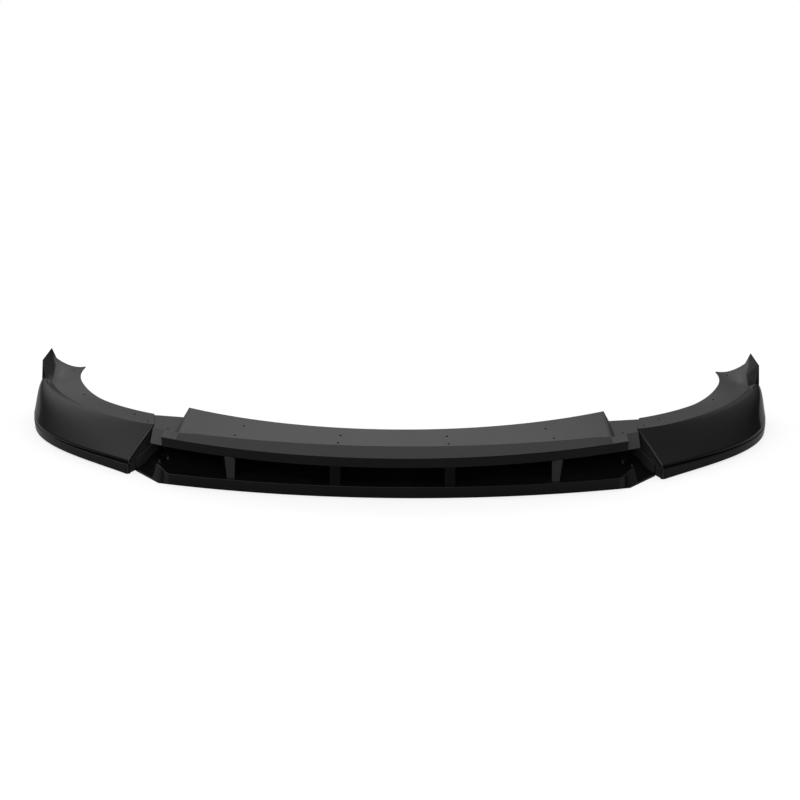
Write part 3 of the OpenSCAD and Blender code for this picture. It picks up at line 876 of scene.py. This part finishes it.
def plastic(look, name, colour, roughness, peel_scale, peel, grain):
    """Lacquered or raw moulded plastic with a faint ripple, a fine grain and thin dust"""
    finish = Finish(bpy.data.materials.new(name))
    cloud = finish.noise(CLOUD_SCALE, detail=3)
    speck = finish.noise(SPECK_SCALE, detail=1)
    dust = finish.spread(cloud, *DUST_CLOUDS) * finish.spread(speck, *DUST_SPECKS)
    ripple = finish.noise(peel_scale, detail=1)
    fine = finish.noise(GRAIN_SCALE, detail=2)
    bump = finish.node("ShaderNodeBump", None, {
        "Strength": 1, "Distance": BUMP_HEIGHT, "Height": ripple * peel + fine * grain}, "Normal")
    finish.feed(finish.tree.nodes["Principled BSDF"], {
        "Base Color": finish.blend_colours(dust, tuple(colour), tuple(look.dust_colour)),
        "Roughness": roughness + (cloud - 0.5) * CLOUD_ROUGHNESS + dust * DUST_ROUGHNESS,
        "Normal": bump,
        "IOR": look.plastic_ior,
    })
    return finish.owner


def finishes(scene):
    """The three finishes of the mouldings, made once, with each one's ripple scale, ripple and grain"""
    look = scene.splitter_finish
    kinds = (
        ("polished_face", look.gloss_colour, look.gloss_roughness, 160, 0.03, 0),
        ("satin_flange", look.satin_colour, look.satin_roughness, 420, 0.03, 0.02),
        # The raw back also dresses the end walls and the strut, where its lighter colour is partly painted
        # sheen
        ("raw_back_and_end_sheen", look.back_and_end_sheen_colour, look.back_roughness, 300, 0.1, 0.1),
    )
    return [bpy.data.materials.get(kind[0]) or plastic(look, *kind) for kind in kinds]


class SPLITTER_OT_centre(bpy.types.Operator):
    """Models the centre section with its deck, slot, blade, tabs and screw holes"""

    bl_idname = "splitter.centre"
    bl_label = "Centre Section"

    def execute(self, context):
        sizes = context.scene.splitter_sizes
        form = CentreForm(sizes)
        rows = form.rows()
        piece = add_skin("centre_moulding", rows)
        dress(piece, *finishes(context.scene))
        width = len(rows[0])
        for face in piece.data.polygons:
            x = abs(face.center.x)
            satin_end = LIP_FOOT_COL if x > sizes.lip_half else LIP_TOP_COL if x > DECK_END_X else BEND_COL
            face.material_index = int(max(i % width for i in face.vertices) <= satin_end)
        add_wall(piece, sizes)
        cols = list(zip(*rows))
        ends = len(form.stations()[1])
        lip = slice(ends, len(rows) - ends)
        edges = [cols[col][lip] for col in (BEND_COL, LIP_TOP_COL, LIP_FOOT_COL)]
        edges += [cols[BLADE_COL], cols[FOOT_COL]]
        edges += [row[BEND_COL:LIP_FOOT_COL + 1] for row in (rows[lip][0], rows[lip][-1])]
        round_lines(piece, edges, sizes.edge_round)
        self.cut_joints(piece, form)
        corner = CornerForm(sizes)
        screws = form.screws() + [corner.flange_point(*hole) for hole in CORNER_HOLES[:2]]
        cut_away(piece, screw_cutter(screws + mirrored(screws), sizes))
        run = corner.joint_run + STRUT_TAIL
        strut = joint_wall(corner, -sizes.joint_gap - sizes.end_wall_inset - sizes.wall_t, [
            (sizes.strut_front, sizes.wall_t / 2), (sizes.strut_front, sizes.strut_low_z),
            (run, sizes.strut_high_z), (run, sizes.wall_t / 2)])
        # The strut takes the raw finish, whose lighter colour is partly a painted sheen of the lit end face
        dress(strut, piece.data.materials[2])
        piece = join_all([piece, strut, mirror_copy(strut)])
        smooth(piece)
        hand_over(piece, "centre_section")
        return {"FINISHED"}

    def cut_joints(self, piece, form):
        """Clears the corner sections' places and leaves the tabs under their flanges"""
        s = form.s
        corner = CornerForm(s)
        near = corner.joint_front - corner.side * s.joint_gap - corner.along * CUT_REACH
        low_back = corner.joint_back - corner.side * s.joint_gap
        at_back = corner.joint_back - 2 * Vector((s.joint_gap, s.joint_gap, 0))
        inset = Vector((0, s.tab_inset, 0))
        shares = [s.tab_reach * i / CUT_ROWS for i in range(CUT_ROWS + 1)]
        tab = [corner.panel_top(u) + inset for u in shares]
        # Closer at the joint, where the ground would show past the corner section
        tab[0] -= inset / 2
        tab += [corner.corner_back(u) - inset for u in reversed(shares)]
        far_x, rear_y = near.x + CUT_REACH, s.overall_d / 2
        far_front, far_rear = Vector((far_x, near.y, 0)), Vector((far_x, rear_y, 0))
        ahead = Vector((at_back.x, near.y, 0))
        split = form.tab_z - s.wall_t
        layers = (
            (-s.wall_t, split - CUT_OVERLAP,
             [near, low_back, Vector((low_back.x, rear_y, 0)), far_rear, far_front]),
            (s.slot_top_z - s.wall_t / 2, split,
             [ahead, at_back, Vector((far_x, at_back.y, 0)), far_front]),
            (split - 2 * CUT_OVERLAP, 2 * s.flange_back_z,
             [ahead, at_back] + tab + [Vector((form.tab_turn_x, rear_y, 0)), far_rear, far_front]),
        )
        for low, high, outline in layers:
            for points in (outline, mirrored(outline)):
                base = [(p[0], p[1], low) for p in points]
                cut_away(piece, slab(base, (0, 0, high - low)))


def joint_wall(form, off, outline):
    """A wall across the joint, whose outline is given along the joint and upwards"""
    start = form.joint_front + form.side * off
    wall = slab([start + form.along * run + Vector((0, 0, z)) for run, z in outline],
                form.side * form.s.wall_t)
    with editing(wall):
        bpy.ops.mesh.bevel(offset=form.s.rim_round, segments=WALL_SEGMENTS, affect="EDGES")
    return wall


def mirror_copy(piece):
    """A copy of a piece on the other side, with its faces turned outwards again"""
    activate(piece)
    bpy.ops.object.duplicate()
    copy = bpy.context.object
    with editing(copy):
        bpy.ops.transform.mirror(constraint_axis=(True, False, False), center_override=(0, 0, 0))
        bpy.ops.mesh.flip_normals()
    return copy


class SPLITTER_OT_fins(bpy.types.Operator):
    """Models the four fins across the slot"""

    bl_idname = "splitter.fins"
    bl_label = "Slot Fins"

    def execute(self, context):
        s = context.scene.splitter_sizes
        form = CentreForm(s)
        fins = []
        for side in (-1, 1):
            fins.append(self.add_fin(form, side, s.fin_inner_x, s.inner_fin_w, s.inner_fin_w, 0))
            fins.append(self.add_fin(
                form, side, s.fin_outer_x, s.outer_fin_w, s.outer_fin_foot_w, s.outer_fin_lean))
        piece = join_all(fins)
        piece.name = "slot_fins"
        dress(piece, finishes(context.scene)[0])
        smooth(piece)
        hand_over(piece, "centre_section")
        return {"FINISHED"}

    def add_fin(self, form, side, x, top_w, foot_w, lean):
        """A cube shaped into one fin, whose front edges are rounded"""
        s = form.s
        half_wall = s.wall_t / 2
        foot_x, half_back = x - lean, top_w / 2 + s.fin_flare
        ends = []
        for z, front, back, middle, width in (
            (s.blade_h - half_wall, form.blade_line(x) + s.fin_foot_d,
             form.blade_line(x) + s.slot_depth_low + half_wall, foot_x, foot_w),
            (s.slot_top_z + half_wall, form.lip_line(x) + s.lip_lean + s.fin_setback,
             form.lip_line(x) + s.slot_depth_top + half_wall, x, top_w),
        ):
            ends.append([(middle - width / 2, front, z), (middle + width / 2, front, z),
                         (x - half_back, back, z), (x + half_back, back, z)])
        start_piece()
        bpy.ops.mesh.primitive_cube_add(size=1)
        fin = bpy.context.object
        for vertex in fin.data.vertices:
            right, rear, up = (c > 0 for c in vertex.co)
            corner = ends[up][2 * rear + right]
            vertex.co = (side * corner[0], form.front_y + corner[1], corner[2])
        face_outwards(fin)
        corners = [Vector((side * c[0], form.front_y + c[1], c[2])) for end in ends for c in end[:2]]
        round_lines(fin, [[corners[0], corners[2]], [corners[1], corners[3]]], s.edge_round)
        return fin


class SPLITTER_OT_corners(bpy.types.Operator):
    """Models the right corner section and copies it to the left"""

    bl_idname = "splitter.corners"
    bl_label = "Corner Sections"

    def execute(self, context):
        sizes = context.scene.splitter_sizes
        form = CornerForm(sizes)
        rows = form.rows()
        cols = list(zip(*rows))
        piece = add_skin("right_moulding", rows)
        dress(piece, *finishes(context.scene))
        width, main = len(rows[0]), len(rows) - TAIL_ROWS
        deselect_mesh(piece.data)
        for face in piece.data.polygons:
            last = max(i % width for i in face.vertices)
            face.material_index = int(last <= form.fold_col)
            face.select = last > form.shoulder_col and max(face.vertices) // width >= main
        self.delete_faces(piece)
        add_wall(piece, sizes)
        panel, band, foot = (cols[form.edge_col + i][:main] for i in (0, 2, 3))
        round_lines(piece, [panel], PANEL_ROUND, PANEL_SEGMENTS)
        round_lines(piece, [cols[form.fold_col], band, foot], sizes.edge_round)
        self.trim_rear(piece, sizes.overall_d / 2)
        half_wall, run = sizes.wall_t / 2, form.joint_run
        wall = joint_wall(form, sizes.end_wall_inset, [
            (half_wall - sizes.band_step, half_wall),
            (half_wall - sizes.band_step, sizes.band_h - half_wall),
            (half_wall, sizes.band_h),
            (half_wall, sizes.panel_edge_z - half_wall),
            (run, sizes.corner_flange_z - half_wall),
            (run + WALL_TAIL, sizes.corner_flange_z - 2 * sizes.wall_t),
            (run + WALL_TAIL, half_wall),
        ])
        # The end wall takes the raw finish, whose lighter colour is partly a painted sheen of the lit end
        # face
        dress(wall, piece.data.materials[2])
        screws = [form.flange_point(*hole) for hole in CORNER_HOLES]
        rear = form.tail_section(REAR_HOLE[0])
        screws.append(rear[form.flange_shares.index(REAR_HOLE[1])])
        cut_away(piece, screw_cutter(screws, sizes))
        piece = join_all([piece, wall])
        smooth(piece)
        left = mirror_copy(piece)
        left.name = "left_moulding"
        smooth(left)
        hand_over(piece, "right_corner")
        hand_over(left, "left_corner")
        return {"FINISHED"}

    def trim_rear(self, piece, rear_y):
        """Cuts off what the wall's thickness adds behind the winglet's tip"""
        with editing(piece):
            bpy.ops.mesh.bisect(
                plane_co=(0, rear_y, 0), plane_no=(0, 1, 0), use_fill=True, clear_outer=True)

    def delete_faces(self, piece):
        """Deletes the faces that are selected"""
        activate(piece)
        bpy.ops.object.mode_set(mode="EDIT")
        bpy.ops.mesh.select_mode(type="FACE")
        bpy.ops.mesh.delete(type="FACE")
        bpy.ops.object.mode_set(mode="OBJECT")


class SPLITTER_OT_studio(bpy.types.Operator):
    """Sets the camera, the floor and the soft light"""

    bl_idname = "splitter.studio"
    bl_label = "Studio"

    def execute(self, context):
        studio = context.scene.splitter_studio
        self.add_camera(context.scene, studio)
        self.add_floor(studio)
        self.add_world(context.scene, studio)
        self.add_softbox("key_softbox", *KEY_SOFTBOX, studio.key)
        self.add_softbox("rim_softbox", *RIM_SOFTBOX, studio.rim)
        context.scene.view_settings.view_transform = "Standard"
        return {"FINISHED"}

    def add_camera(self, scene, studio):
        level = math.cos(studio.elevation)
        back = Vector((math.sin(studio.azimuth) * level, -math.cos(studio.azimuth) * level,
                       math.sin(studio.elevation)))
        start_piece()
        bpy.ops.object.camera_add(location=CAMERA_AIM + back * studio.distance,
                                  rotation=back.to_track_quat("Z", "Y").to_euler())
        camera = bpy.context.object
        camera.name = "camera"
        camera.data.sensor_width = SENSOR_WIDTH
        camera.data.lens = studio.focal_length
        scene.camera = camera

    def add_floor(self, studio):
        """White to the camera but for the part's shadow, and dim in the gloss"""
        start_piece()
        bpy.ops.mesh.primitive_plane_add(size=FLOOR_SIDE, location=(0, 0, 0))
        floor = bpy.context.object
        floor.name = "floor"
        finish = Finish(bpy.data.materials.new("floor"))
        finish.tree.nodes.remove(finish.tree.nodes["Principled BSDF"])
        camera, mirror = self.seen_rays(finish)
        distance = finish.node("ShaderNodeVectorMath", {"operation": "LENGTH"}, {0: finish.place}, "Value")
        glow = (camera + mirror * studio.horizon) * finish.spread(distance, *GLOW_REACH, FLOOR_GLOW, 1)
        emission = finish.node("ShaderNodeEmission", None, {"Color": WHITE, "Strength": glow})
        matt = finish.node("ShaderNodeBsdfDiffuse", None, {"Color": FLOOR_GREY})
        both = finish.node("ShaderNodeAddShader", None, {0: emission, 1: matt})
        output = next(n for n in finish.tree.nodes if n.type == "OUTPUT_MATERIAL")
        finish.feed(output, {"Surface": both})
        floor.data.materials.append(finish.owner)

    def seen_rays(self, finish):
        """Rays straight from the camera, and those that come by way of gloss or glass"""
        camera, glossy, through = [
            finish.node("ShaderNodeLightPath", None, None, name)
            for name in ("Is Camera Ray", "Is Glossy Ray", "Is Transmission Ray")]
        mirror = finish.node(
            "ShaderNodeMath", {"operation": "ADD", "use_clamp": True}, {0: glossy, 1: through})
        return camera, mirror

    def add_world(self, scene, studio):
        """White to the camera, and in the gloss white overhead and grey towards the horizon"""
        finish = Finish(bpy.data.worlds.new("studio"), "Generated")
        scene.world = finish.owner
        camera, mirror = self.seen_rays(finish)
        sideways, height = [
            finish.node("ShaderNodeSeparateXYZ", None, {0: finish.place}, axis) for axis in "XZ"]
        dome = finish.spread(height, *DOME_RISE, studio.horizon, 1)
        dome *= finish.spread(sideways, *RIGHT_FADE, 1, RIGHT_LEVEL)
        dome *= finish.spread(sideways, *SCREEN_START, 1, studio.side)
        dome *= finish.spread(sideways, *SCREEN_END, 1, 1 / studio.side)
        strength = studio.fill + camera * (1 - studio.fill) + mirror * (dome - studio.fill)
        finish.feed(finish.tree.nodes["Background"], {"Color": WHITE, "Strength": strength})

    def add_softbox(self, name, place, aim, size, radiance):
        start_piece()
        direction = Vector(place) - Vector(aim)
        bpy.ops.object.light_add(type="AREA", location=place,
                                 rotation=direction.to_track_quat("Z", "Y").to_euler())
        lamp = bpy.context.object
        lamp.name = name
        lamp.data.shape = "RECTANGLE"
        lamp.data.size, lamp.data.size_y = size
        lamp.data.energy = radiance * math.pi * size[0] * size[1]


class SPLITTER_PT_panel(bpy.types.Panel):
    """Lists the operators, colours, lights and sizes in the sidebar"""

    bl_label = "Front Splitter Lip"
    bl_idname = "SPLITTER_PT_panel"
    bl_space_type = "VIEW_3D"
    bl_region_type = "UI"
    bl_category = "Splitter"

    def draw(self, context):
        column = self.layout.column()
        for operator in PIECES:
            column.operator(operator.bl_idname)
        for group in map(context.scene.path_resolve, GROUPS):
            box = self.layout.box()
            for name in group.bl_rna.properties.keys():
                if name not in ("rna_type", "name"):
                    box.prop(group, name)


PIECES = (SPLITTER_OT_studio, SPLITTER_OT_centre, SPLITTER_OT_fins, SPLITTER_OT_corners)
GROUPS = {
    "splitter_finish": SplitterFinish,
    "splitter_studio": SplitterStudio,
    "splitter_sizes": SplitterSizes,
}
CLASSES = (*GROUPS.values(), *PIECES, SPLITTER_PT_panel)


def register():
    for item in CLASSES:
        bpy.utils.register_class(item)
    for name, group in GROUPS.items():
        setattr(bpy.types.Scene, name, PointerProperty(type=group))


def unregister():
    for name in GROUPS:
        delattr(bpy.types.Scene, name)
    for item in reversed(CLASSES):
        bpy.utils.unregister_class(item)


def main():
    register()
    bpy.ops.splitter.studio()
    bpy.ops.splitter.centre()
    bpy.ops.splitter.fins()
    bpy.ops.splitter.corners()
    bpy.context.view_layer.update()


if __name__ == "__main__":
    main()
